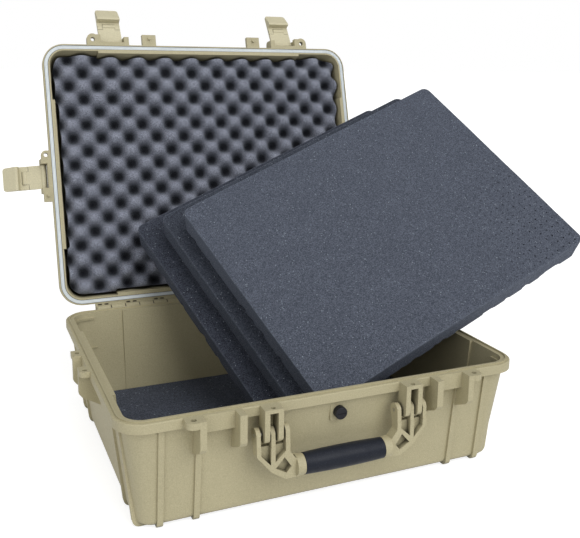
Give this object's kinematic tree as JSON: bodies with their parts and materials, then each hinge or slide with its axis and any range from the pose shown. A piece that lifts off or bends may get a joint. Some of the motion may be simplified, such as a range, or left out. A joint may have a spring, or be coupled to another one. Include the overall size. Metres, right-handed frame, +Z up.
{
  "type": "hard equipment case",
  "caption": "Hard-shell equipment case, open: hinged lid, double-throw latches, folding handle, purge valve, lid foam and three loose foam layers leaning in the base",
  "frame": {"origin": "middle of the underside, on the ground plane the case rests on", "axes": "+X to the right seen from the handle side, -Y out of the handle side, +Z up"},
  "size_m": [0.85, 0.6868, 0.6647],
  "materials": {
    "shell": "satin",
    "latch": "satin",
    "grip": "satin",
    "steel_pin": "satin",
    "seal": "satin",
    "black_rubber": "matte",
    "black_plastic": "satin",
    "foam": "matte",
    "convoluted_foam": "matte"
  },
  "bodies": {
    "base": {"base_shell": "shell", "base_pad": "foam", "hinge_pin_left": "steel_pin", "hinge_pin_right": "steel_pin", "handle_pin_left": "steel_pin", "handle_pin_right": "steel_pin", "valve_bush": "black_plastic", "valve_seal": "black_rubber", "valve_nut": "black_plastic"},
    "lid": {"lid_shell": "shell", "lid_gasket": "seal", "lid_foam": "convoluted_foam", "latch_pin_front_left": "steel_pin", "latch_pin_front_right": "steel_pin", "latch_pin_left": "steel_pin", "latch_pin_right": "steel_pin"},
    "handle": {"handle_frame": "shell", "handle_grip": "grip"},
    "valve_knob": {"valve_knob": "black_plastic"},
    "foam_rear": {"foam_layer_rear": "foam"},
    "foam_middle": {"foam_layer_middle": "foam"},
    "foam_front": {"foam_layer_front": "foam"},
    "latch_link_front_left": {"latch_link_front_left": "latch", "latch_lever_pin_front_left": "steel_pin"},
    "latch_lever_front_left": {"latch_lever_front_left": "latch"},
    "latch_link_front_right": {"latch_link_front_right": "latch", "latch_lever_pin_front_right": "steel_pin"},
    "latch_lever_front_right": {"latch_lever_front_right": "latch"},
    "latch_link_left": {"latch_link_left": "latch", "latch_lever_pin_left": "steel_pin"},
    "latch_lever_left": {"latch_lever_left": "latch"},
    "latch_link_right": {"latch_link_right": "latch", "latch_lever_pin_right": "steel_pin"},
    "latch_lever_right": {"latch_lever_right": "latch"}
  },
  "joints": [
    {"name": "lid_hinge", "type": "hinge", "parent": "base", "child": "lid", "pos_m": [0, 0.2394, 0.1528], "axis": [-1, 0, 0], "range_deg": [-105.8, 0], "deforming": ["foam_layer_rear", "foam_layer_middle", "foam_layer_front", "lid_gasket"]},
    {"name": "latch_front_left", "type": "hinge", "parent": "lid", "child": "latch_link_front_left", "pos_m": [-0.168, 0.39006, 0.60735], "axis": [-1, 0, 0], "range_deg": [-110, 0]},
    {"name": "lever_front_left", "type": "hinge", "parent": "latch_link_front_left", "child": "latch_lever_front_left", "pos_m": [-0.168, 0.40936, 0.63412], "axis": [-1, 0, 0], "range_deg": [0, 60]},
    {"name": "latch_front_right", "type": "hinge", "parent": "lid", "child": "latch_link_front_right", "pos_m": [0.168, 0.39006, 0.60735], "axis": [-1, 0, 0], "range_deg": [-110, 0]},
    {"name": "lever_front_right", "type": "hinge", "parent": "latch_link_front_right", "child": "latch_lever_front_right", "pos_m": [0.168, 0.40936, 0.63412], "axis": [-1, 0, 0], "range_deg": [0, 60]},
    {"name": "latch_left", "type": "hinge", "parent": "lid", "child": "latch_link_left", "pos_m": [-0.302, 0.32444, 0.37546], "axis": [0, -0.2723, -0.9622], "range_deg": [-110, 0]},
    {"name": "lever_left", "type": "hinge", "parent": "latch_link_left", "child": "latch_lever_left", "pos_m": [-0.33301, 0.3353, 0.37239], "axis": [0, -0.2723, -0.9622], "range_deg": [0, 60]},
    {"name": "latch_right", "type": "hinge", "parent": "lid", "child": "latch_link_right", "pos_m": [0.302, 0.32444, 0.37546], "axis": [0, 0.2723, 0.9622], "range_deg": [-110, 0]},
    {"name": "lever_right", "type": "hinge", "parent": "latch_link_right", "child": "latch_lever_right", "pos_m": [0.33301, 0.3353, 0.37239], "axis": [0, 0.2723, 0.9622], "range_deg": [0, 60]},
    {"name": "handle_swing", "type": "hinge", "parent": "base", "child": "handle", "pos_m": [0, -0.234, 0.1195], "axis": [-1, 0, 0], "range_deg": [0, 95]},
    {"name": "valve_turn", "type": "hinge", "parent": "base", "child": "valve_knob", "pos_m": [0.0028, -0.2233, 0.124], "axis": [0, -1, 0], "range_deg": [0, 180]},
    {"name": "foam_rear_tip", "type": "hinge", "parent": "lid", "child": "foam_rear", "pos_m": [0.14746, 0.04532, 0.61022], "axis": [0.8286, 0.5548, 0.0747], "range_deg": [0, 41.38]},
    {"name": "foam_middle_slide", "type": "slide", "parent": "foam_rear", "child": "foam_middle", "axis": [-0.8743, 0.4718, 0.1138], "range_m": [0, 0.0501]},
    {"name": "foam_front_slide", "type": "slide", "parent": "foam_middle", "child": "foam_front", "axis": [-0.7876, 0.5707, 0.2325], "range_m": [0, 0.04543]}
  ],
  "couplings": [
    {"joint": "foam_rear_tip", "follows": "lid_hinge", "ratio": -0.39109},
    {"joint": "foam_middle_slide", "follows": "lid_hinge", "m_per_rad": -0.027129},
    {"joint": "foam_front_slide", "follows": "lid_hinge", "m_per_rad": -0.024603}
  ]
}
